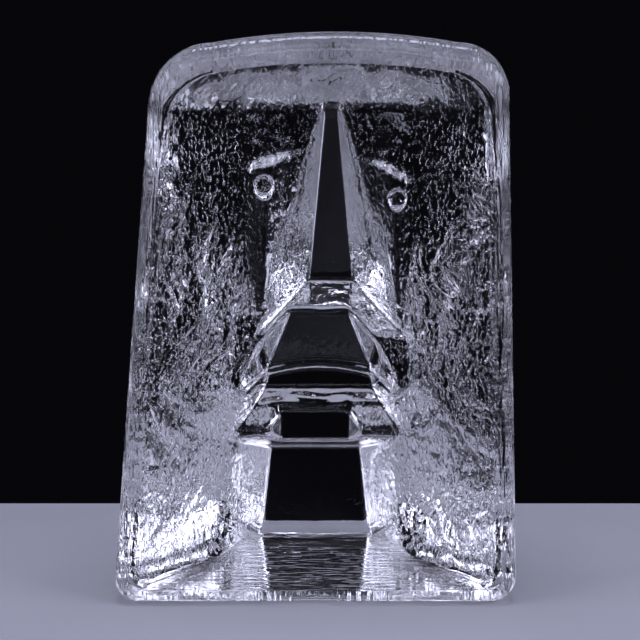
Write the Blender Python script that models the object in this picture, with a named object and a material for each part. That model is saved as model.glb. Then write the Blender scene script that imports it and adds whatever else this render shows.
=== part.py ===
"""A glass face sculpture: one solid block of clear cast glass that stands on its flat base.

The front is a flat polished window that leans back. The back is a stern mask in deep relief, cast
in a mould whose walls taper, and it is seen through the glass.

Metres, +Z up. The window faces -Y. The origin is on the underside, half way across the base and
half the chin's depth behind the window. Heights are Z and widths are X. A depth is how far behind
the window a surface lies, measured level along +Y. Left and right are as the viewer sees them.
"""

import math

import bmesh
import bpy
import numpy as np

# The block's outline, as seen from the front
HEIGHT = 0.160
BASE_WIDTH = 0.1152
TOP_WIDTH = 0.0985
TOP_SHIFT = 0.0045
TOP_DOME = 0.0030
LEFT_SHOULDER_RADIUS = 0.0165
RIGHT_SHOULDER_RADIUS = 0.0135
FOOT_RADIUS = 0.0070
WINDOW_ROUNDING = 0.0042
WINDOW_LEAN_DEG = 9.0

# The walls between the window and the carved back
SIDE_WALL_AT_BASE = 0.016
SIDE_WALL_AT_TOP = 0.021
CROWN_WALL = 0.027
SIDE_TAPER = 0.14
TOP_TAPER = 0.55

# Levels of the face, from the underside up
CHIN_HEEL_Z = 0.0010
CHIN_TOP_Z = 0.0258
LOWER_LIP_Z = 0.0460
MOUTH_Z = 0.0530
UPPER_LIP_Z = 0.0690
NOSE_TIP_Z = 0.0765
EYE_Z = 0.1074
BROW_Z = 0.1180
NOSE_ROOT_Z = 0.1330
CROWN_START_Z = 0.1300
CROWN_Z = 0.1500

# The head behind the face's features: its depth along the middle, and where that depth ends
HEAD_DEPTH_AT_BASE = 0.0685
HEAD_DEPTH_AT_CHEEK = 0.0515
HEAD_DEPTH_AT_BROW = 0.0410
JAW_TURN_Z = -0.0200
CHEEK_TURN_Z = 0.0665
JAW_HALF_WIDTH = 0.0165
CHEEK_HALF_WIDTH = 0.0190
FOREHEAD_HALF_WIDTH = 0.0110
CHEEK_FULLNESS = 0.86
FOREHEAD_FULLNESS = 2.1

# The level valleys cut into the head beside the throat and beside the lips
THROAT_VALLEY_DEPTH = 0.0500
THROAT_VALLEY_LOW_Z = 0.0345
THROAT_VALLEY_HIGH_Z = 0.0375
MUZZLE_DEPTH = 0.0450
MUZZLE_LOW_Z = 0.0500
MUZZLE_HIGH_Z = 0.0712
VALLEY_SIDE_SLOPE = 1.2

# The chin and the throat above it
CHIN_DEPTH = 0.0700
CHIN_HALF_WIDTH_AT_BASE = 0.0160
CHIN_HALF_WIDTH_AT_TOP = 0.0132
CHIN_FLANK_SLOPE = 1.9
CHIN_LEDGE_SLOPE = 2.6
CHIN_HEEL_SLOPE = 0.9
THROAT_DEPTH = 0.0560
THROAT_HALF_WIDTH = 0.0100
THROAT_FLANK_SLOPE = 1.6

# The lips
LIP_SHIFT = 0.0012
LIP_DEPTH = 0.0610
LIP_RISE = 0.0060
LIP_TOP_SHARE = 1.3
LOWER_LIP_HALF_WIDTH = 0.0157
MOUTH_HALF_WIDTH = 0.0147
UPPER_LIP_HALF_WIDTH = 0.0088
LIP_FLANK_SLOPE = 2.1
LIP_UNDERSIDE_SLOPE = 1.35
MOUTH_SLIT_DEPTH = 0.0014
MOUTH_SLIT_WIDTH = 0.0011
MOUTH_ARCH = 10.0

# The nose
FACE_SHIFT = 0.0046
NOSE_TIP_DEPTH = 0.0650
NOSE_ROOT_DEPTH = 0.0425
NOSE_TIP_HALF_WIDTH = 0.0066
NOSE_ROOT_HALF_WIDTH = 0.0017
NOSE_FLANK_SLOPE = 1.75
NOSE_UNDERSIDE_SLOPE = 1.7
NOSE_ROOT_SLOPE = 1.6

# The hollows beside the nose, from under the brows down to the nostrils
HOLLOW_DEPTH_AT_EYE = 0.0375
HOLLOW_DEPTH_AT_CHEEK = 0.0455
HOLLOW_LOW_Z = 0.0725
HOLLOW_TOP_SHARE = -0.4
HOLLOW_FOOT_SHARE = 1.2
HOLLOW_INNER_SLOPE = 0.72
HOLLOW_OUTER_SLOPE = 0.58
HOLLOW_WALL_SLOPE = 1.4
HOLLOW_ARC_SLOPE = 0.55
VALLEY_AT_EYE = 0.0185
VALLEY_AT_CHEEK = 0.0200
CREASE_AT_EYE = 0.0272
CREASE_AT_CHEEK = 0.0222

# The brows over the hollows and the eyes in them
BROW_PEAK_X = 0.0115
BROW_ARCH = 26.0
BROW_INNER_ARCH = 90.0
BROW_TILT = 0.08
BROW_SLOPE = 2.3
LID_DROP = 0.0030
LID_STEP = 0.0012
LID_LOW = 0.0066
LID_HIGH = 0.0060
EYE_SPACING = 0.0385
EYE_TILT = 0.0037
EYE_RADIUS = 0.0040
PUPIL_RADIUS = 0.0021
EYE_HEIGHT = 0.0042

# How softly cast glass turns a corner, and a fold between two broad forms
CORNER = 0.0012
FOLD = 0.0030
EYE_CORNER = 0.0006

# The grid that the back is carved on, and the share of its rows along the rounded corners
COLUMNS = 150
ROWS = 210
WALL_STEPS = 3
ROUNDING_STEPS = 4
FOOT_SHARE = 0.05
SHOULDER_SHARE = 0.12
DOME_START = 0.6
CROWN_START = 0.72
RIM_START = 0.93
RIM_TOP_START = 0.976
TRIANGLE_SHARE = 0.124


def between(low, high, share):
    """The value a share of the way from low to high."""
    return low + (high - low) * share


def ease(value, low, high):
    """0 below low, 1 above high, and a smooth turn between them."""
    share = np.clip((value - low) / (high - low), 0.0, 1.0)
    return share * share * (3.0 - 2.0 * share)


def lesser(a, b, blend):
    """The smaller of two depths, with the corner between them rounded."""
    share = np.clip(0.5 + 0.5 * (b - a) / blend, 0.0, 1.0)
    return between(b, a, share) - blend * share * (1.0 - share)


def greater(a, b, blend):
    """The larger of two depths, with the corner between them rounded."""
    return -lesser(-a, -b, blend)


def side_wall(z):
    """How thick the block is at its left and right edges."""
    return between(SIDE_WALL_AT_BASE, SIDE_WALL_AT_TOP, z / HEIGHT)


def head_spine(z):
    """How deep the head is along its middle."""
    cheek = between(HEAD_DEPTH_AT_BASE, HEAD_DEPTH_AT_CHEEK, ease(z, JAW_TURN_Z, NOSE_TIP_Z))
    return between(cheek, HEAD_DEPTH_AT_BROW, ease(z, CHEEK_TURN_Z, BROW_Z))


def head_flat(z):
    """Half the width over which the head keeps its full depth."""
    cheek = between(JAW_HALF_WIDTH, CHEEK_HALF_WIDTH, ease(z, 0.0, NOSE_TIP_Z))
    return between(cheek, FOREHEAD_HALF_WIDTH, ease(z, EYE_Z, NOSE_ROOT_Z))


def head(z, edge, wall):
    """The plain head, a broad prow from cheek to cheek. Edge is 0 in the middle and 1 at the wall."""
    half_width = between(BASE_WIDTH, TOP_WIDTH, z / HEIGHT) / 2.0 - SIDE_TAPER * wall
    start = head_flat(z) / half_width
    out = np.clip((edge - start) / (1.0 - start), 0.0, 1.0)
    fullness = between(CHEEK_FULLNESS, FOREHEAD_FULLNESS, ease(z, UPPER_LIP_Z, NOSE_ROOT_Z))
    body = wall + (head_spine(z) - wall) * (1.0 - out**fullness)
    crown = ease(z, CROWN_START_Z, CROWN_Z)
    return between(body, wall, crown)


def level_valley(z, depth, low, high):
    """A cut straight across the head that leaves it no deeper than depth between two heights."""
    below = depth + VALLEY_SIDE_SLOPE * (low - z)
    above = depth + VALLEY_SIDE_SLOPE * (z - high)
    return greater(greater(below, above, CORNER), depth, CORNER)


def chin(x, z):
    half = between(CHIN_HALF_WIDTH_AT_BASE, CHIN_HALF_WIDTH_AT_TOP, z / CHIN_TOP_Z)
    flank = CHIN_DEPTH - CHIN_FLANK_SLOPE * (np.abs(x) - half)
    ledge = CHIN_DEPTH - CHIN_LEDGE_SLOPE * (z - CHIN_TOP_Z)
    heel = CHIN_DEPTH + CHIN_HEEL_SLOPE * (z - CHIN_HEEL_Z)
    block = lesser(lesser(flank, ledge, CORNER), CHIN_DEPTH, CORNER)
    return lesser(block, heel, CORNER)


def throat(x, z):
    flank = THROAT_DEPTH - THROAT_FLANK_SLOPE * (np.abs(x) - THROAT_HALF_WIDTH)
    top = THROAT_DEPTH - LIP_UNDERSIDE_SLOPE * (z - LOWER_LIP_Z)
    return lesser(lesser(flank, top, CORNER), THROAT_DEPTH, CORNER)


def lips(x, z):
    upper = (z - MOUTH_Z) / (UPPER_LIP_Z - MOUTH_Z)
    lower = (MOUTH_Z - z) / (MOUTH_Z - LOWER_LIP_Z)
    upper_half = between(MOUTH_HALF_WIDTH, UPPER_LIP_HALF_WIDTH, upper)
    lower_half = between(MOUTH_HALF_WIDTH, LOWER_LIP_HALF_WIDTH, lower)
    half = np.where(z > MOUTH_Z, upper_half, lower_half)
    plateau = LIP_DEPTH - LIP_RISE * np.clip(upper, 0.0, LIP_TOP_SHARE)
    mouth_line = MOUTH_Z - MOUTH_ARCH * x * x
    slit = np.exp(-(((z - mouth_line) / MOUTH_SLIT_WIDTH) ** 2))
    plateau = plateau - MOUTH_SLIT_DEPTH * slit
    flank = plateau - LIP_FLANK_SLOPE * (np.abs(x) - half)
    underside = LIP_DEPTH - LIP_UNDERSIDE_SLOPE * (LOWER_LIP_Z - z)
    return lesser(lesser(plateau, flank, CORNER), underside, CORNER)


def nose(x, z):
    up = (z - NOSE_TIP_Z) / (NOSE_ROOT_Z - NOSE_TIP_Z)
    ridge = between(NOSE_TIP_DEPTH, NOSE_ROOT_DEPTH, up)
    half = between(NOSE_TIP_HALF_WIDTH, NOSE_ROOT_HALF_WIDTH, up)
    flank = ridge - NOSE_FLANK_SLOPE * (np.abs(x) - half)
    underside = NOSE_TIP_DEPTH - NOSE_UNDERSIDE_SLOPE * (NOSE_TIP_Z - z)
    root = NOSE_ROOT_DEPTH - NOSE_ROOT_SLOPE * (z - NOSE_ROOT_Z)
    return lesser(lesser(ridge, flank, CORNER), lesser(underside, root, FOLD), CORNER)


def eye_hollow(x, z):
    """The valley beside the nose: two folded floors, an outer wall, a brow above and an arc below."""
    away = np.abs(x)
    down = (EYE_Z - z) / (EYE_Z - HOLLOW_LOW_Z)
    level = np.clip(down, HOLLOW_TOP_SHARE, HOLLOW_FOOT_SHARE)
    floor = between(HOLLOW_DEPTH_AT_EYE, HOLLOW_DEPTH_AT_CHEEK, level)
    valley = between(VALLEY_AT_EYE, VALLEY_AT_CHEEK, down)
    crease = between(CREASE_AT_EYE, CREASE_AT_CHEEK, down)
    inner_floor = floor + HOLLOW_INNER_SLOPE * (valley - away)
    outer_floor = floor + HOLLOW_OUTER_SLOPE * (away - valley)
    outer_wall = outer_floor + HOLLOW_WALL_SLOPE * (away - crease)
    arch = np.where(away > BROW_PEAK_X, BROW_ARCH, BROW_INNER_ARCH)
    brow_line = BROW_Z - arch * (away - BROW_PEAK_X) ** 2 - BROW_TILT * x
    brow_wall = floor + BROW_SLOPE * (z - brow_line + LID_DROP)
    lid = floor + LID_STEP * ease(z, brow_line - LID_LOW, brow_line - LID_HIGH)
    arc = HOLLOW_LOW_Z + HOLLOW_ARC_SLOPE * (CREASE_AT_CHEEK - away)
    arc_wall = floor + HOLLOW_WALL_SLOPE * (arc - z)
    floors = greater(greater(inner_floor, outer_floor, CORNER), lid, CORNER)
    walls = greater(greater(outer_wall, brow_wall, CORNER), arc_wall, CORNER)
    return greater(floors, walls, CORNER)


def eye(x, z, side):
    """One eye: a round button with a flat top."""
    centre_z = EYE_Z - side * EYE_TILT / 2.0
    radius = np.hypot(x - side * EYE_SPACING / 2.0, z - centre_z)
    top = HOLLOW_DEPTH_AT_EYE + EYE_HEIGHT
    cone = top - EYE_HEIGHT * (radius - PUPIL_RADIUS) / (EYE_RADIUS - PUPIL_RADIUS)
    return lesser(cone, top, EYE_CORNER)


def carved_depth(x, z, edge, wall):
    """How far behind the window the carved back lies. Edge is 0 in the middle and 1 at the wall."""
    face = x - FACE_SHIFT
    beside_throat = level_valley(z, THROAT_VALLEY_DEPTH, THROAT_VALLEY_LOW_Z, THROAT_VALLEY_HIGH_Z)
    beside_lips = level_valley(z, MUZZLE_DEPTH, MUZZLE_LOW_Z, MUZZLE_HIGH_Z)
    depth = lesser(head(z, edge, wall), eye_hollow(face, z), CORNER)
    depth = lesser(lesser(depth, beside_throat, CORNER), beside_lips, CORNER)
    for side in (-1.0, 1.0):
        depth = greater(depth, eye(face, z, side), EYE_CORNER)
    depth = greater(depth, nose(face, z), FOLD)
    depth = greater(depth, lips(x - LIP_SHIFT, z), FOLD)
    depth = greater(depth, throat(x, z), FOLD)
    return greater(depth, chin(x, z), FOLD)


def wall_depth(v, z):
    """How deep the wall around the carved back is: it grows from the sides to the crown."""
    return between(side_wall(z), CROWN_WALL, ease(v, CROWN_START, 1.0))


def outline_side(side, v, depth, inset):
    """A point (x, z) of the left (side -1) or right (side 1) outline of the block's section."""
    shoulder = (LEFT_SHOULDER_RADIUS if side < 0.0 else RIGHT_SHOULDER_RADIUS) - inset
    foot = FOOT_RADIUS - inset
    low_angle = math.pi / 2.0 * np.clip(1.0 - v / FOOT_SHARE, 0.0, 1.0)
    high_angle = math.pi / 2.0 * np.clip((v - 1.0) / SHOULDER_SHARE + 1.0, 0.0, 1.0)
    middle = np.clip((v - FOOT_SHARE) / (1.0 - SHOULDER_SHARE - FOOT_SHARE), 0.0, 1.0)
    behind = np.maximum(depth - WINDOW_ROUNDING, 0.0)
    top = HEIGHT - TOP_DOME - TOP_TAPER * behind - inset
    z = between(inset + foot, top - shoulder, middle)
    z = z - foot * np.sin(low_angle) + shoulder * np.sin(high_angle)
    half = between(BASE_WIDTH, TOP_WIDTH, z / HEIGHT) / 2.0 - SIDE_TAPER * behind - inset
    half = half - foot * (1.0 - np.cos(low_angle)) - shoulder * (1.0 - np.cos(high_angle))
    return side * half + TOP_SHIFT * z / HEIGHT, z


def section(u, v, depth, inset):
    """A point (x, z) of the block's section at a depth. u is -1 to 1 across, v is 0 to 1 upwards."""
    left_x, left_z = outline_side(-1.0, v, depth, inset)
    right_x, right_z = outline_side(1.0, v, depth, inset)
    across = (u + 1.0) / 2.0
    dome = TOP_DOME * (1.0 - u * u) * ease(v, DOME_START, 1.0)
    return between(left_x, right_x, across), between(left_z, right_z, across) + dome


def back_point(u, v):
    """A point of the carved back, as x, z and depth."""
    wall = wall_depth(v, v * HEIGHT)
    x, z = section(u, v, wall, 0.0)
    edge = np.abs(u)
    depth = carved_depth(x, z, edge, wall)
    rim = np.maximum(ease(edge, RIM_START, 1.0), ease(v, RIM_TOP_START, 1.0))
    return x, z, between(depth, wall, rim)


def block_point(u, v, ring):
    """A point of the whole skin. Ring 0 is the back, and the last ring is the window's edge."""
    back_x, back_z, back_depth = back_point(u, v)
    along = np.clip(ring / WALL_STEPS, 0.0, 1.0)
    turn = np.clip((ring - WALL_STEPS) / ROUNDING_STEPS, 0.0, 1.0) * math.pi / 2.0
    wall_level = between(back_depth, WINDOW_ROUNDING, along)
    level = wall_level - WINDOW_ROUNDING * np.sin(turn)
    inset = WINDOW_ROUNDING * (1.0 - np.cos(turn))
    wall_x, wall_z = section(u, v, np.minimum(level, wall_depth(v, v * HEIGHT)), inset)
    on_back = ring < 0.5
    x = np.where(on_back, back_x, wall_x)
    z = np.where(on_back, back_z, wall_z)
    depth = np.where(on_back, back_depth, level)
    y = depth - CHIN_DEPTH / 2.0 + z * math.tan(math.radians(WINDOW_LEAN_DEG))
    return x, y, z


def skin(columns, rows):
    """The block's closed skin: a grid for the back, drawn forward at its edge, and the window."""
    mesh = bmesh.new()
    bmesh.ops.create_grid(mesh, x_segments=columns, y_segments=rows, size=1.0)
    rim = [edge for edge in mesh.edges if edge.is_boundary]
    for ring in range(WALL_STEPS + ROUNDING_STEPS):
        drawn = bmesh.ops.extrude_edge_only(mesh, edges=rim)["geom"]
        for vertex in drawn:
            if isinstance(vertex, bmesh.types.BMVert):
                vertex.co.z = ring + 1.0
        rim = [edge for edge in drawn if isinstance(edge, bmesh.types.BMEdge) and edge.is_boundary]
    bmesh.ops.holes_fill(mesh, edges=rim)
    flat = np.array([vertex.co[:] for vertex in mesh.verts])
    x, y, z = block_point(flat[:, 0], (flat[:, 1] + 1.0) / 2.0, flat[:, 2])
    for vertex, place in zip(mesh.verts, zip(x, y, z)):
        vertex.co = place
    bmesh.ops.recalc_face_normals(mesh, faces=mesh.faces)
    return mesh


def clear_glass():
    material = bpy.data.materials.new("clear_glass")
    material.use_nodes = True
    shader = material.node_tree.nodes["Principled BSDF"]
    shader.inputs["Base Color"].default_value = (0.93, 0.94, 0.97, 1.0)
    shader.inputs["Roughness"].default_value = 0.03
    shader.inputs["Metallic"].default_value = 0.0
    shader.inputs["IOR"].default_value = 1.5
    shader.inputs["Transmission Weight"].default_value = 1.0
    return material


def main():
    for old in list(bpy.data.objects):
        bpy.data.objects.remove(old)
    collection = bpy.data.collections.new("glass_face_sculpture")
    bpy.context.scene.collection.children.link(collection)
    data = bpy.data.meshes.new("cast_glass_face")
    mesh = skin(COLUMNS, ROWS)
    mesh.to_mesh(data)
    mesh.free()
    data.materials.append(clear_glass())
    block = bpy.data.objects.new("cast_glass_face", data)
    collection.objects.link(block)
    fewer = block.modifiers.new("fewer_facets", "DECIMATE")
    fewer.ratio = TRIANGLE_SHARE


main()
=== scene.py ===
"""The looks of a glass face sculpture: a block of clear cast glass with a mask carved into its back.

The mask is seen through a flat window, against a dark room. Light comes mostly from the sides, from above
and from high in front, so that facets parallel to the window stay dark and slanted ones shine.
"""

import math

import bmesh
import bpy
import numpy as np
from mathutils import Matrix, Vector, noise


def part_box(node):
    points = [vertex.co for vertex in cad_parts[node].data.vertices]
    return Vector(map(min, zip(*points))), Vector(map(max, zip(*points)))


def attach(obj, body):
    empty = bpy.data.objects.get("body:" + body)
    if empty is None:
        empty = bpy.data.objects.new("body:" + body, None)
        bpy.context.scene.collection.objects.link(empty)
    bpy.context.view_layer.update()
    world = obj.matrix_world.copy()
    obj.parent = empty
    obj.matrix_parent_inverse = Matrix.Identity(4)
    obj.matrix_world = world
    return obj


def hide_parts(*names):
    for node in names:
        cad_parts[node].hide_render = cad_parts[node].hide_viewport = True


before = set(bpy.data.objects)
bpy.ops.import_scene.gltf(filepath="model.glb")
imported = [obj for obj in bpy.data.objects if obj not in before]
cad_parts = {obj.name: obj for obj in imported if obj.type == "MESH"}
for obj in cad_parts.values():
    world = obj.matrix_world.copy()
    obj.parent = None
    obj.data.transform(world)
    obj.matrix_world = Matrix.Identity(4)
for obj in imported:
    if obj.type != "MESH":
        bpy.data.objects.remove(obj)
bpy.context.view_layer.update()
BLOCK_LOW, BLOCK_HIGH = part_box("cast_glass_face")

# The block's outline, as in the solid
HEIGHT = BLOCK_HIGH[2] - BLOCK_LOW[2]
BASE_WIDTH = 0.1152
TOP_WIDTH = 0.0985
TOP_SHIFT = 0.0045
TOP_DOME = 0.0030
LEFT_SHOULDER_RADIUS = 0.0165
RIGHT_SHOULDER_RADIUS = 0.0135
FOOT_RADIUS = 0.0070
WINDOW_ROUNDING = 0.0042
WINDOW_LEAN_DEG = 9.0

# The walls between the window and the carved back
SIDE_WALL_AT_BASE = 0.016
SIDE_WALL_AT_TOP = 0.021
CROWN_WALL = 0.027
SIDE_TAPER = 0.14
TOP_TAPER = 0.55

# Levels of the face, from the underside up
CHIN_HEEL_Z = 0.0010
CHIN_TOP_Z = 0.0258
LOWER_LIP_Z = 0.0460
MOUTH_Z = 0.0530
UPPER_LIP_Z = 0.0690
NOSE_TIP_Z = 0.0765
EYE_Z = 0.1074
BROW_Z = 0.1180
NOSE_ROOT_Z = 0.1330
CROWN_START_Z = 0.1300
CROWN_Z = 0.1500

# The head behind the face's features: its depth along the middle, and where that depth ends
HEAD_DEPTH_AT_BASE = 0.0685
HEAD_DEPTH_AT_CHEEK = 0.0515
HEAD_DEPTH_AT_BROW = 0.0410
JAW_TURN_Z = -0.0200
CHEEK_TURN_Z = 0.0665
JAW_HALF_WIDTH = 0.0165
CHEEK_HALF_WIDTH = 0.0190
FOREHEAD_HALF_WIDTH = 0.0110
CHEEK_FULLNESS = 0.86
FOREHEAD_FULLNESS = 2.1

# The level valleys cut into the head beside the throat and beside the lips
THROAT_VALLEY_DEPTH = 0.0500
THROAT_VALLEY_LOW_Z = 0.0345
THROAT_VALLEY_HIGH_Z = 0.0375
MUZZLE_DEPTH = 0.0450
MUZZLE_LOW_Z = 0.0500
MUZZLE_HIGH_Z = 0.0712
VALLEY_SIDE_SLOPE = 1.2

# The chin and the throat above it
CHIN_DEPTH = 0.0700
CHIN_HALF_WIDTH_AT_BASE = 0.0160
CHIN_HALF_WIDTH_AT_TOP = 0.0132
CHIN_FLANK_SLOPE = 1.9
CHIN_LEDGE_SLOPE = 2.6
CHIN_HEEL_SLOPE = 0.9
THROAT_DEPTH = 0.0560
THROAT_HALF_WIDTH = 0.0100
THROAT_FLANK_SLOPE = 1.6

# The lips
LIP_SHIFT = 0.0012
LIP_DEPTH = 0.0610
LIP_RISE = 0.0060
LIP_TOP_SHARE = 1.3
LOWER_LIP_HALF_WIDTH = 0.0157
MOUTH_HALF_WIDTH = 0.0147
UPPER_LIP_HALF_WIDTH = 0.0088
LIP_FLANK_SLOPE = 2.1
LIP_UNDERSIDE_SLOPE = 1.35
MOUTH_SLIT_DEPTH = 0.0014
MOUTH_SLIT_WIDTH = 0.0011
MOUTH_ARCH = 10.0

# The nose
FACE_SHIFT = 0.0046
NOSE_TIP_DEPTH = 0.0650
NOSE_ROOT_DEPTH = 0.0425
NOSE_TIP_HALF_WIDTH = 0.0066
NOSE_ROOT_HALF_WIDTH = 0.0017
NOSE_FLANK_SLOPE = 1.75
NOSE_UNDERSIDE_SLOPE = 1.7
NOSE_ROOT_SLOPE = 1.6

# The hollows beside the nose, from under the brows down to the nostrils
HOLLOW_DEPTH_AT_EYE = 0.0375
HOLLOW_DEPTH_AT_CHEEK = 0.0455
HOLLOW_LOW_Z = 0.0725
HOLLOW_TOP_SHARE = -0.4
HOLLOW_FOOT_SHARE = 1.2
HOLLOW_INNER_SLOPE = 0.72
HOLLOW_OUTER_SLOPE = 0.58
HOLLOW_WALL_SLOPE = 1.4
HOLLOW_ARC_SLOPE = 0.55
VALLEY_AT_EYE = 0.0185
VALLEY_AT_CHEEK = 0.0200
CREASE_AT_EYE = 0.0272
CREASE_AT_CHEEK = 0.0222

# The brows over the hollows and the eyes in them
BROW_PEAK_X = 0.0115
BROW_ARCH = 26.0
BROW_INNER_ARCH = 90.0
BROW_TILT = 0.08
BROW_SLOPE = 2.3
LID_DROP = 0.0030
LID_STEP = 0.0012
LID_LOW = 0.0066
LID_HIGH = 0.0060
EYE_SPACING = 0.0385
EYE_TILT = 0.0037
EYE_RADIUS = 0.0040
PUPIL_RADIUS = 0.0021
EYE_HEIGHT = 0.0042

# How softly cast glass turns a corner, and a fold between two broad forms
CORNER = 0.0012
FOLD = 0.0030
ROOT_FOLD = 0.0090
EYE_CORNER = 0.0006

# The mesh of the casting's skin
COLUMNS = 230
ROWS = 316
WALL_STEPS = 6
ROUNDING_STEPS = 6
GRID_SLACK = 1e-6
RING_STEP = 1e6
ROW_STEP = 1e3

# Shares of the way up or out: the rounded corners, and where the dome, the crown's wall and the rim start
FOOT_SHARE = 0.05
SHOULDER_SHARE = 0.12
DOME_START = 0.6
CROWN_START = 0.72
RIM_START = 0.93
RIM_TOP_START = 0.976

# Chill marks: long low wrinkles and broad swells, left where hot glass met the cooler mould
WRINKLE_WIDTH = 0.0012
WRINKLE_LENGTH = 0.0032
WRINKLE_DEPTH = 0.00040
WRINKLE_LEVEL = 0.05
SWELL_WIDTH = 0.0065
SWELL_LENGTH = 0.0110
SWELL_DEPTH = 0.00045

# How strong the marks are, where 1 is their strength on the plain head
MARKS_IN_HOLLOWS = 0.40
MARKS_ON_FEATURES = 0.12
MARKS_ON_NOSE = 0.90

# The patches on the cheeks: what they add to that strength, and their place and size
CHEEK_PATCH_MARKS = 3.4
CHEEK_PATCH_X = 0.0300
CHEEK_PATCH_Z = 0.0690
CHEEK_PATCH_WIDTH = 0.0085
CHEEK_PATCH_HEIGHT = 0.0130

# The distance over which the marks sway with the flow of the glass, and how far they sway
FLOW_SIZE = 0.022
FLOW_SWAY = 0.009

# Ripples that run across the undersides of the nose and the lips, and teeth along the brows
RIPPLE_LENGTH = 0.0070
RIPPLE_WIDTH = 0.0013
RIPPLE_DEPTH = 0.00035
RIPPLE_FADE = 0.0010
TOOTH_WIDTH = 0.0012
TOOTH_DEPTH = 0.0034

# Layers of the noise, far enough apart to be unlike each other
FLOW_LAYER = 0.0
TOOTH_LAYER = 5.0
SWELL_LAYER = 7.0
RIPPLE_LAYER = 11.0
WRINKLE_LAYER = 13.0

# Clear glass
GLASS_IOR = 1.5

# Fine streaks of its finishes: sizes along X, Y and Z, height, bend, and the noise levels that they span
CHILLED_STREAKS = {
    "sizes": (0.0008, 0.0018, 0.0018), "height": 0.00013, "warp": 0.6, "start": 0.50, "full": 0.72}
MOULDED_STREAKS = {
    "sizes": (0.0014, 0.0120, 0.0120), "height": 0.00030, "warp": 0.0, "start": 0.2, "full": 0.8}
GROUND_STREAKS = {
    "sizes": (0.0100, 0.0016, 0.0016), "height": 0.00012, "warp": 0.5, "start": 0.2, "full": 0.8}

# Camera: it looks along +Y from above
CAMERA_ELEVATION_DEG = 18.0
CAMERA_DISTANCE = 0.82
CAMERA_LENS_MM = 160.0
CAMERA_TARGET = Vector((0.0015, 0.0, 0.0742))

# The dark room and its soft boxes: name, turn and rise in degrees, distance, width, height and brightness
ROOM_COLOUR = (0.002, 0.002, 0.003, 1.0)
LIGHT_COLOUR = (0.74, 0.76, 1.0)
STUDIO_STRENGTH = 1.22
SOFT_BOXES = [
    ("left_box", -108.0, 25.0, 0.75, 0.44, 0.24, 4.6),
    ("right_box", 110.0, 25.0, 0.75, 0.48, 0.24, 5.2),
    ("front_box", 180.0, 46.0, 0.95, 0.90, 0.30, 0.6),
    ("overhead_box", 0.0, 84.0, 0.80, 0.40, 0.24, 7.5),
    ("backdrop_glow", 0.0, 8.0, 0.95, 0.40, 0.24, 0.35),
    ("front_low_box", 180.0, 23.0, 0.95, 0.80, 0.20, 1.1),
    ("low_back_card", 22.0, -28.0, 0.70, 0.20, 0.10, 0.6),
    ("left_cheek_box", -150.0, 10.0, 0.80, 0.30, 0.20, 3.2),
    ("right_cheek_box", 150.0, 10.0, 0.80, 0.30, 0.20, 3.6)]

# How many times light may pass through glass, and how many times it may be mirrored
GLASS_BOUNCES = 24
MIRROR_BOUNCES = 12

# The table ends close behind the block, so that the dark room shows through the glass
FLOOR_GAP = 0.0003
TABLE_HALF_WIDTH = 0.104
TABLE_FRONT = -0.085
TABLE_BACK = 0.0445
TABLE_COLOUR = (0.50, 0.50, 0.52, 1.0)
TABLE_ROUGHNESS = 0.6


def between(low, high, share):
    """The value a share of the way from low to high."""
    return low + (high - low) * share


def ease(value, low, high):
    """0 below low, 1 above high, and a smooth turn between them."""
    share = np.clip((value - low) / (high - low), 0.0, 1.0)
    return share * share * (3.0 - 2.0 * share)


def lesser(a, b, blend):
    """The smaller of two depths, with the corner between them rounded."""
    share = np.clip(0.5 + 0.5 * (b - a) / blend, 0.0, 1.0)
    return between(b, a, share) - blend * share * (1.0 - share)


def greater(a, b, blend):
    """The larger of two depths, with the corner between them rounded."""
    return -lesser(-a, -b, blend)


def side_wall(z):
    """How thick the block is at its left and right edges."""
    return between(SIDE_WALL_AT_BASE, SIDE_WALL_AT_TOP, z / HEIGHT)


def head_spine(z):
    """How deep the head is along its middle."""
    cheek = between(HEAD_DEPTH_AT_BASE, HEAD_DEPTH_AT_CHEEK, ease(z, JAW_TURN_Z, NOSE_TIP_Z))
    return between(cheek, HEAD_DEPTH_AT_BROW, ease(z, CHEEK_TURN_Z, BROW_Z))


def head_flat(z):
    """Half the width over which the head keeps its full depth."""
    cheek = between(JAW_HALF_WIDTH, CHEEK_HALF_WIDTH, ease(z, 0.0, NOSE_TIP_Z))
    return between(cheek, FOREHEAD_HALF_WIDTH, ease(z, EYE_Z, NOSE_ROOT_Z))


def head(z, edge, wall):
    """The plain head, a broad prow from cheek to cheek. Edge is 0 in the middle and 1 at the wall."""
    half_width = between(BASE_WIDTH, TOP_WIDTH, z / HEIGHT) / 2.0 - SIDE_TAPER * wall
    start = head_flat(z) / half_width
    out = np.clip((edge - start) / (1.0 - start), 0.0, 1.0)
    fullness = between(CHEEK_FULLNESS, FOREHEAD_FULLNESS, ease(z, UPPER_LIP_Z, NOSE_ROOT_Z))
    body = wall + (head_spine(z) - wall) * (1.0 - out**fullness)
    crown = ease(z, CROWN_START_Z, CROWN_Z)
    return between(body, wall, crown)


def level_valley(z, depth, low, high):
    """A cut straight across the head that leaves it no deeper than depth between two heights."""
    below = depth + VALLEY_SIDE_SLOPE * (low - z)
    above = depth + VALLEY_SIDE_SLOPE * (z - high)
    return greater(greater(below, above, CORNER), depth, CORNER)


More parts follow.
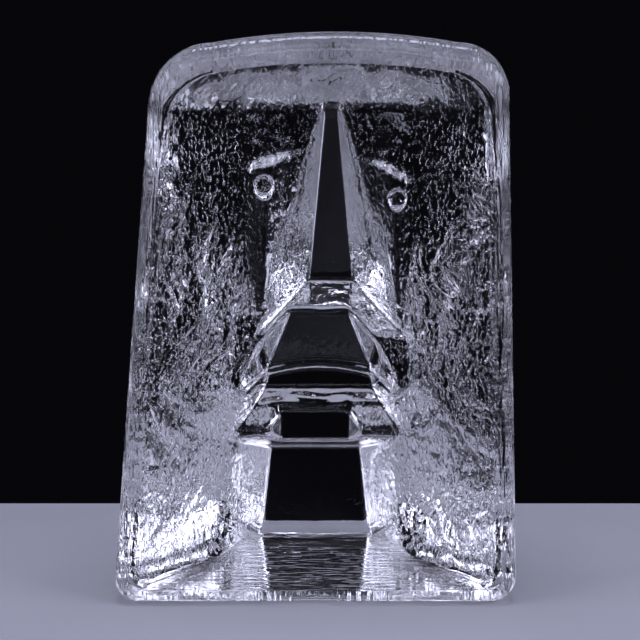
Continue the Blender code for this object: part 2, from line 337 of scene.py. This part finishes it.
def chin(x, z):
    """How deep the chin is: a block with slanted flanks, a ledge above and a heel below."""
    half = between(CHIN_HALF_WIDTH_AT_BASE, CHIN_HALF_WIDTH_AT_TOP, z / CHIN_TOP_Z)
    flank = CHIN_DEPTH - CHIN_FLANK_SLOPE * (np.abs(x) - half)
    ledge = CHIN_DEPTH - CHIN_LEDGE_SLOPE * (z - CHIN_TOP_Z)
    heel = CHIN_DEPTH + CHIN_HEEL_SLOPE * (z - CHIN_HEEL_Z)
    block = lesser(lesser(flank, ledge, CORNER), CHIN_DEPTH, CORNER)
    return lesser(block, heel, CORNER)


def throat(x, z):
    """How deep the throat is: a narrower block that ends under the lower lip."""
    flank = THROAT_DEPTH - THROAT_FLANK_SLOPE * (np.abs(x) - THROAT_HALF_WIDTH)
    top = THROAT_DEPTH - LIP_UNDERSIDE_SLOPE * (z - LOWER_LIP_Z)
    return lesser(lesser(flank, top, CORNER), THROAT_DEPTH, CORNER)


def lips(x, z):
    """How deep the lips are, with the slit of the mouth between them."""
    upper = (z - MOUTH_Z) / (UPPER_LIP_Z - MOUTH_Z)
    lower = (MOUTH_Z - z) / (MOUTH_Z - LOWER_LIP_Z)
    upper_half = between(MOUTH_HALF_WIDTH, UPPER_LIP_HALF_WIDTH, upper)
    lower_half = between(MOUTH_HALF_WIDTH, LOWER_LIP_HALF_WIDTH, lower)
    half = np.where(z > MOUTH_Z, upper_half, lower_half)
    plateau = LIP_DEPTH - LIP_RISE * np.clip(upper, 0.0, LIP_TOP_SHARE)
    mouth_line = MOUTH_Z - MOUTH_ARCH * x * x
    slit = np.exp(-(((z - mouth_line) / MOUTH_SLIT_WIDTH) ** 2))
    plateau = plateau - MOUTH_SLIT_DEPTH * slit
    flank = plateau - LIP_FLANK_SLOPE * (np.abs(x) - half)
    underside = LIP_DEPTH - LIP_UNDERSIDE_SLOPE * (LOWER_LIP_Z - z)
    return lesser(lesser(plateau, flank, CORNER), underside, CORNER)


def nose_ridge_half(z):
    """Half the width of the flat ridge of the nose."""
    up = (z - NOSE_TIP_Z) / (NOSE_ROOT_Z - NOSE_TIP_Z)
    return between(NOSE_TIP_HALF_WIDTH, NOSE_ROOT_HALF_WIDTH, up)


def nose(x, z):
    """How deep the nose is: a flat ridge with two flanks, an underside and a root."""
    up = (z - NOSE_TIP_Z) / (NOSE_ROOT_Z - NOSE_TIP_Z)
    ridge = between(NOSE_TIP_DEPTH, NOSE_ROOT_DEPTH, up)
    flank = ridge - NOSE_FLANK_SLOPE * (np.abs(x) - nose_ridge_half(z))
    underside = NOSE_TIP_DEPTH - NOSE_UNDERSIDE_SLOPE * (NOSE_TIP_Z - z)
    root = NOSE_ROOT_DEPTH - NOSE_ROOT_SLOPE * (z - NOSE_ROOT_Z)
    return lesser(lesser(ridge, flank, CORNER), lesser(underside, root, FOLD), CORNER)


def eye_hollow(x, z):
    """The valley beside the nose: two folded floors, an outer wall, a brow above and an arc below."""
    away = np.abs(x)
    down = (EYE_Z - z) / (EYE_Z - HOLLOW_LOW_Z)
    level = np.clip(down, HOLLOW_TOP_SHARE, HOLLOW_FOOT_SHARE)
    floor = between(HOLLOW_DEPTH_AT_EYE, HOLLOW_DEPTH_AT_CHEEK, level)
    valley = between(VALLEY_AT_EYE, VALLEY_AT_CHEEK, down)
    crease = between(CREASE_AT_EYE, CREASE_AT_CHEEK, down)
    inner_floor = floor + HOLLOW_INNER_SLOPE * (valley - away)
    outer_floor = floor + HOLLOW_OUTER_SLOPE * (away - valley)
    outer_wall = outer_floor + HOLLOW_WALL_SLOPE * (away - crease)
    arch = np.where(away > BROW_PEAK_X, BROW_ARCH, BROW_INNER_ARCH)
    brow_line = BROW_Z - arch * (away - BROW_PEAK_X) ** 2 - BROW_TILT * x
    teeth = TOOTH_DEPTH * noise_field(x, np.zeros_like(x), TOOTH_WIDTH, TOOTH_WIDTH, TOOTH_LAYER)
    brow_wall = floor + BROW_SLOPE * (z - brow_line + LID_DROP) + teeth
    lid = floor + LID_STEP * ease(z, brow_line - LID_LOW, brow_line - LID_HIGH)
    arc = HOLLOW_LOW_Z + HOLLOW_ARC_SLOPE * (CREASE_AT_CHEEK - away)
    arc_wall = floor + HOLLOW_WALL_SLOPE * (arc - z)
    floors = greater(greater(inner_floor, outer_floor, CORNER), lid, CORNER)
    walls = greater(greater(outer_wall, brow_wall, CORNER), arc_wall, CORNER)
    return greater(floors, walls, CORNER)


def eye(x, z, side):
    """One eye: a round button with a flat top."""
    centre_z = EYE_Z - side * EYE_TILT / 2.0
    radius = np.hypot(x - side * EYE_SPACING / 2.0, z - centre_z)
    top = HOLLOW_DEPTH_AT_EYE + EYE_HEIGHT
    cone = top - EYE_HEIGHT * (radius - PUPIL_RADIUS) / (EYE_RADIUS - PUPIL_RADIUS)
    return lesser(cone, top, EYE_CORNER)


def carved_depth(x, z, edge, wall):
    """How far behind the window the carved back lies, and how strong the chill marks on it are.

    Edge is 0 in the middle and 1 at the wall.
    """
    face = x - FACE_SHIFT
    beside_throat = level_valley(z, THROAT_VALLEY_DEPTH, THROAT_VALLEY_LOW_Z, THROAT_VALLEY_HIGH_Z)
    beside_lips = level_valley(z, MUZZLE_DEPTH, MUZZLE_LOW_Z, MUZZLE_HIGH_Z)
    plain_head = head(z, edge, wall)
    hollows = eye_hollow(face, z)
    body = lesser(plain_head, hollows, CORNER)
    body = lesser(lesser(body, beside_throat, CORNER), beside_lips, CORNER)
    depth = body
    for side in (-1.0, 1.0):
        depth = greater(depth, eye(face, z, side), EYE_CORNER)
    # The fold is softer where the nose runs out into the forehead
    fold = between(FOLD, ROOT_FOLD, ease(z, NOSE_ROOT_Z - FOLD, NOSE_ROOT_Z))
    for feature in (nose(face, z), lips(x - LIP_SHIFT, z), throat(x, z), chin(x, z)):
        depth = greater(depth, feature, fold)
    sunk = ease(plain_head - hollows, 0.0, FOLD)
    proud = ease(depth - body, CORNER, FOLD)
    off_ridge = ease(np.abs(face) - nose_ridge_half(z), 0.0, CORNER)
    on_flank = ease(z, UPPER_LIP_Z, NOSE_TIP_Z) * off_ridge
    on_features = between(MARKS_ON_FEATURES, MARKS_ON_NOSE, on_flank)
    on_features = between(on_features, 1.0, ease(z, NOSE_ROOT_Z - FOLD, NOSE_ROOT_Z))
    marks = between(between(1.0, MARKS_IN_HOLLOWS, sunk), on_features, proud)
    off_x = (np.abs(face) - CHEEK_PATCH_X) / CHEEK_PATCH_WIDTH
    off_z = (z - CHEEK_PATCH_Z) / CHEEK_PATCH_HEIGHT
    marks = marks * (1.0 + CHEEK_PATCH_MARKS * np.exp(-off_x * off_x - off_z * off_z))
    return depth, marks


def noise_field(x, z, width, length, layer):
    """Smooth noise from about -1 to 1 whose features are width wide and length long."""
    spots = zip(np.ravel(x) / width, np.ravel(z) / length)
    return np.array([noise.noise(Vector((across, layer, up))) for across, up in spots])


def chill_marks(x, z):
    """The height of the wrinkles and swells of the carved back, which lean with the flow of the glass."""
    across = x + FLOW_SWAY * noise_field(x, z, FLOW_SIZE, FLOW_SIZE, FLOW_LAYER)
    wrinkles = noise_field(across, z, WRINKLE_WIDTH, WRINKLE_LENGTH, WRINKLE_LAYER)
    swells = noise_field(across, z, SWELL_WIDTH, SWELL_LENGTH, SWELL_LAYER)
    return WRINKLE_DEPTH * np.maximum(wrinkles - WRINKLE_LEVEL, 0.0) + SWELL_DEPTH * swells


def ripple_band(z, low, high):
    """1 between two heights, and 0 below and above them."""
    return ease(z, low - RIPPLE_FADE, low) - ease(z, high - RIPPLE_FADE, high)


def ripples(x, z):
    """The height of the ripples under the nose and under the lips."""
    lip_foot = LOWER_LIP_Z - (LIP_DEPTH - THROAT_DEPTH) / LIP_UNDERSIDE_SLOPE
    under_nose = ripple_band(z, UPPER_LIP_Z, NOSE_TIP_Z)
    under_lips = ripple_band(z, lip_foot, LOWER_LIP_Z)
    beside = 1.0 - ease(np.abs(x - FACE_SHIFT), CREASE_AT_CHEEK, CREASE_AT_CHEEK + RIPPLE_FADE)
    share = np.maximum(under_nose, under_lips) * beside
    return RIPPLE_DEPTH * share * noise_field(x, z, RIPPLE_LENGTH, RIPPLE_WIDTH, RIPPLE_LAYER)


def wall_depth(v, z):
    """How deep the wall around the carved back is: it grows from the sides to the crown."""
    return between(side_wall(z), CROWN_WALL, ease(v, CROWN_START, 1.0))


def outline_side(side, v, depth, inset):
    """A point (x, z) of the left (side -1) or right (side 1) outline of the block's section."""
    shoulder = (LEFT_SHOULDER_RADIUS if side < 0.0 else RIGHT_SHOULDER_RADIUS) - inset
    foot = FOOT_RADIUS - inset
    low_angle = math.pi / 2.0 * np.clip(1.0 - v / FOOT_SHARE, 0.0, 1.0)
    high_angle = math.pi / 2.0 * np.clip((v - 1.0) / SHOULDER_SHARE + 1.0, 0.0, 1.0)
    middle = np.clip((v - FOOT_SHARE) / (1.0 - SHOULDER_SHARE - FOOT_SHARE), 0.0, 1.0)
    behind = np.maximum(depth - WINDOW_ROUNDING, 0.0)
    top = HEIGHT - TOP_DOME - TOP_TAPER * behind - inset
    z = between(inset + foot, top - shoulder, middle)
    z = z - foot * np.sin(low_angle) + shoulder * np.sin(high_angle)
    half = between(BASE_WIDTH, TOP_WIDTH, z / HEIGHT) / 2.0 - SIDE_TAPER * behind - inset
    half = half - foot * (1.0 - np.cos(low_angle)) - shoulder * (1.0 - np.cos(high_angle))
    return side * half + TOP_SHIFT * z / HEIGHT, z


def section(u, v, depth, inset):
    """A point (x, z) of the block's section at a depth. u is -1 to 1 across, v is 0 to 1 upwards."""
    left_x, left_z = outline_side(-1.0, v, depth, inset)
    right_x, right_z = outline_side(1.0, v, depth, inset)
    across = (u + 1.0) / 2.0
    dome = TOP_DOME * (1.0 - u * u) * ease(v, DOME_START, 1.0)
    return between(left_x, right_x, across), between(left_z, right_z, across) + dome


def back_point(u, v):
    """A point of the carved back, as x, z and depth, and the strength of the marks there."""
    wall = wall_depth(v, v * HEIGHT)
    x, z = section(u, v, wall, 0.0)
    edge = np.abs(u)
    depth, strength = carved_depth(x, z, edge, wall)
    rim = np.maximum(ease(edge, RIM_START, 1.0), ease(v, RIM_TOP_START, 1.0))
    strength = strength * (1.0 - rim) * ease(z, 0.0, FOLD / 2.0)
    relief = chill_marks(x, z) * strength + ripples(x, z) * (1.0 - rim)
    return x, z, between(depth, wall, rim) + relief, strength


def block_point(u, v, ring):
    """A point of the whole skin, as x, y and z, and the strength of the marks there.

    Ring 0 is the back, and the last ring is the window's edge.
    """
    back_x, back_z, back_depth, strength = back_point(u, v)
    along = np.clip(ring / WALL_STEPS, 0.0, 1.0)
    turn = np.clip((ring - WALL_STEPS) / ROUNDING_STEPS, 0.0, 1.0) * math.pi / 2.0
    wall_level = between(back_depth, WINDOW_ROUNDING, along)
    level = wall_level - WINDOW_ROUNDING * np.sin(turn)
    inset = WINDOW_ROUNDING * (1.0 - np.cos(turn))
    wall_x, wall_z = section(u, v, np.minimum(level, wall_depth(v, v * HEIGHT)), inset)
    on_back = ring < 0.5
    x = np.where(on_back, back_x, wall_x)
    z = np.where(on_back, back_z, wall_z)
    depth = np.where(on_back, back_depth, level)
    y = depth - CHIN_DEPTH / 2.0 + z * math.tan(math.radians(WINDOW_LEAN_DEG))
    return x, y, z, np.where(on_back, strength, 0.0)


BACK, WALLS, UNDERSIDE, WINDOW = range(4)


def grid_order(place):
    """A number that rises from ring to ring, in a ring from row to row, and in a row along it."""
    return RING_STEP * place.z + ROW_STEP * place.y + place.x


def put_in_order(mesh):
    """Sorts the mesh, because edges that are drawn out come in an order that changes from run to run."""
    mesh.verts.sort(key=lambda vertex: grid_order(vertex.co))
    mesh.edges.sort(key=lambda edge: grid_order((edge.verts[0].co + edge.verts[1].co) / 2.0))
    mesh.faces.sort(key=lambda face: grid_order(face.calc_center_median()))


def skin():
    """The casting's closed skin: a grid for the back, drawn forward at its edge, and the window."""
    # Until the vertices are placed, x and y are their places in the grid, and z is the number of their ring
    mesh = bmesh.new()
    bmesh.ops.create_grid(mesh, x_segments=COLUMNS, y_segments=ROWS, size=1.0)
    rim = [edge for edge in mesh.edges if edge.is_boundary]
    for ring in range(WALL_STEPS + ROUNDING_STEPS):
        drawn = bmesh.ops.extrude_edge_only(mesh, edges=rim)["geom"]
        for vertex in drawn:
            if isinstance(vertex, bmesh.types.BMVert):
                vertex.co.z = ring + 1.0
        rim = [edge for edge in drawn if isinstance(edge, bmesh.types.BMEdge) and edge.is_boundary]
    put_in_order(mesh)
    rim = [edge for edge in mesh.edges if edge.is_boundary]
    window = bmesh.ops.holes_fill(mesh, edges=rim)["faces"]
    for face in mesh.faces:
        rings = [vertex.co.z for vertex in face.verts]
        low = max(vertex.co.y for vertex in face.verts) < -1.0 + GRID_SLACK
        face.material_index = WALLS if max(rings) > 0.5 else BACK
        if low and max(rings) < WALL_STEPS + 0.5:
            face.material_index = UNDERSIDE
        face.smooth = face.material_index in (WALLS, BACK)
    for face in window:
        face.material_index = WINDOW
        face.smooth = False
    flat = np.array([vertex.co[:] for vertex in mesh.verts])
    x, y, z, strength = block_point(flat[:, 0], (flat[:, 1] + 1.0) / 2.0, flat[:, 2])
    marks = mesh.verts.layers.float.new("marks")
    for vertex, place, amount in zip(mesh.verts, zip(x, y, z), strength):
        vertex.co = place
        vertex[marks] = amount
    bmesh.ops.recalc_face_normals(mesh, faces=mesh.faces)
    return mesh


def clear_glass(name):
    """A see-through glass with plain values, and its shader."""
    material = bpy.data.materials.new(name)
    material.use_nodes = True
    shader = material.node_tree.nodes["Principled BSDF"]
    shader.inputs["Base Color"].default_value = (1.0, 1.0, 1.0, 1.0)
    shader.inputs["Metallic"].default_value = 0.0
    shader.inputs["Roughness"].default_value = 0.0
    shader.inputs["IOR"].default_value = GLASS_IOR
    shader.inputs["Transmission Weight"].default_value = 1.0
    return material, shader


def streaked(material, shader, sizes, height, warp, start, full):
    """Adds a bump of stretched noise to a glass, and returns it. Sizes and height are in metres."""
    nodes, links = material.node_tree.nodes, material.node_tree.links
    place = nodes.new("ShaderNodeTexCoord")
    stretch = nodes.new("ShaderNodeMapping")
    stretch.inputs["Scale"].default_value = [1.0 / size for size in sizes]
    links.new(place.outputs["Object"], stretch.inputs["Vector"])
    grain = nodes.new("ShaderNodeTexNoise")
    grain.inputs["Scale"].default_value = 1.0
    grain.inputs["Detail"].default_value = 1.0
    grain.inputs["Roughness"].default_value = 0.5
    grain.inputs["Distortion"].default_value = warp
    links.new(stretch.outputs["Vector"], grain.inputs["Vector"])
    rise = nodes.new("ShaderNodeMapRange")
    rise.interpolation_type = "SMOOTHSTEP"
    rise.inputs["From Min"].default_value = start
    rise.inputs["From Max"].default_value = full
    links.new(grain.outputs["Fac"], rise.inputs["Value"])
    bump = nodes.new("ShaderNodeBump")
    bump.inputs["Strength"].default_value = 1.0
    bump.inputs["Distance"].default_value = height
    links.new(rise.outputs["Result"], bump.inputs["Height"])
    links.new(bump.outputs["Normal"], shader.inputs["Normal"])
    return bump


def chilled_glass():
    """The carved back, whose streaks are as strong as the chill marks around them."""
    material, shader = clear_glass("chilled_glass")
    bump = streaked(material, shader, **CHILLED_STREAKS)
    nodes, links = material.node_tree.nodes, material.node_tree.links
    amount = nodes.new("ShaderNodeAttribute")
    amount.attribute_name = "marks"
    links.new(amount.outputs["Fac"], bump.inputs["Strength"])
    return material


def moulded_glass():
    """The outer walls, with fine lines that run up from the foot."""
    material, shader = clear_glass("moulded_glass")
    streaked(material, shader, **MOULDED_STREAKS)
    return material


def ground_glass():
    """The underside, with streaks that run from side to side."""
    material, shader = clear_glass("ground_glass")
    streaked(material, shader, **GROUND_STREAKS)
    return material


def polished_glass():
    """The smooth window."""
    return clear_glass("polished_glass")[0]


def casting():
    """The whole sculpture as one piece, with its four finishes."""
    mesh = skin()
    data = bpy.data.meshes.new("glass_casting")
    mesh.to_mesh(data)
    mesh.free()
    for material in (chilled_glass(), moulded_glass(), ground_glass(), polished_glass()):
        data.materials.append(material)
    piece = bpy.data.objects.new("glass_casting", data)
    bpy.context.scene.collection.objects.link(piece)
    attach(piece, "root")
    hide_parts("cast_glass_face")


def pale_table():
    """A pale board that ends close behind the block, so that the dark room shows through the glass."""
    material = bpy.data.materials.new("pale_table")
    material.use_nodes = True
    shader = material.node_tree.nodes["Principled BSDF"]
    shader.inputs["Base Color"].default_value = TABLE_COLOUR
    shader.inputs["Roughness"].default_value = TABLE_ROUGHNESS
    corners = [(x, y, -FLOOR_GAP) for x, y in (
        (-TABLE_HALF_WIDTH, TABLE_FRONT), (TABLE_HALF_WIDTH, TABLE_FRONT),
        (TABLE_HALF_WIDTH, TABLE_BACK), (-TABLE_HALF_WIDTH, TABLE_BACK))]
    data = bpy.data.meshes.new("table")
    data.from_pydata(corners, [], [(0, 1, 2, 3)])
    data.materials.append(material)
    table = bpy.data.objects.new("table", data)
    bpy.context.scene.collection.objects.link(table)


def aim(thing, target):
    """Turns a light or a camera towards a point."""
    way = Vector(target) - thing.location
    thing.rotation_euler = way.to_track_quat("-Z", "Y").to_euler()


def soft_box(name, turn_deg, rise_deg, distance, width, height, brightness):
    """A soft box that faces the block. A turn of 0 is behind the block and 90 is on its right."""
    light = bpy.data.lights.new(name, "AREA")
    light.shape = "RECTANGLE"
    light.size = width
    light.size_y = height
    light.energy = STUDIO_STRENGTH * brightness * math.pi * width * height
    light.color = LIGHT_COLOUR
    box = bpy.data.objects.new(name, light)
    bpy.context.scene.collection.objects.link(box)
    turn, rise = math.radians(turn_deg), math.radians(rise_deg)
    way = Vector((math.sin(turn) * math.cos(rise), math.cos(turn) * math.cos(rise), math.sin(rise)))
    middle = Vector((0.0, 0.0, HEIGHT / 2.0))
    box.location = middle + way * distance
    box.visible_camera = False
    aim(box, middle)


def studio():
    """The dark room, its soft boxes and the camera."""
    scene = bpy.context.scene
    world = bpy.data.worlds.new("dark_studio")
    world.use_nodes = True
    world.node_tree.nodes["Background"].inputs["Color"].default_value = ROOM_COLOUR
    scene.world = world
    for box in SOFT_BOXES:
        soft_box(*box)
    camera = bpy.data.objects.new("camera", bpy.data.cameras.new("camera"))
    camera.data.lens = CAMERA_LENS_MM
    scene.collection.objects.link(camera)
    rise = math.radians(CAMERA_ELEVATION_DEG)
    way = Vector((0.0, -math.cos(rise), math.sin(rise)))
    camera.location = CAMERA_TARGET + way * CAMERA_DISTANCE
    aim(camera, CAMERA_TARGET)
    scene.camera = camera
    scene.cycles.max_bounces = GLASS_BOUNCES
    scene.cycles.transmission_bounces = GLASS_BOUNCES
    scene.cycles.glossy_bounces = MIRROR_BOUNCES
    scene.view_settings.view_transform = "Standard"


casting()
pale_table()
studio()
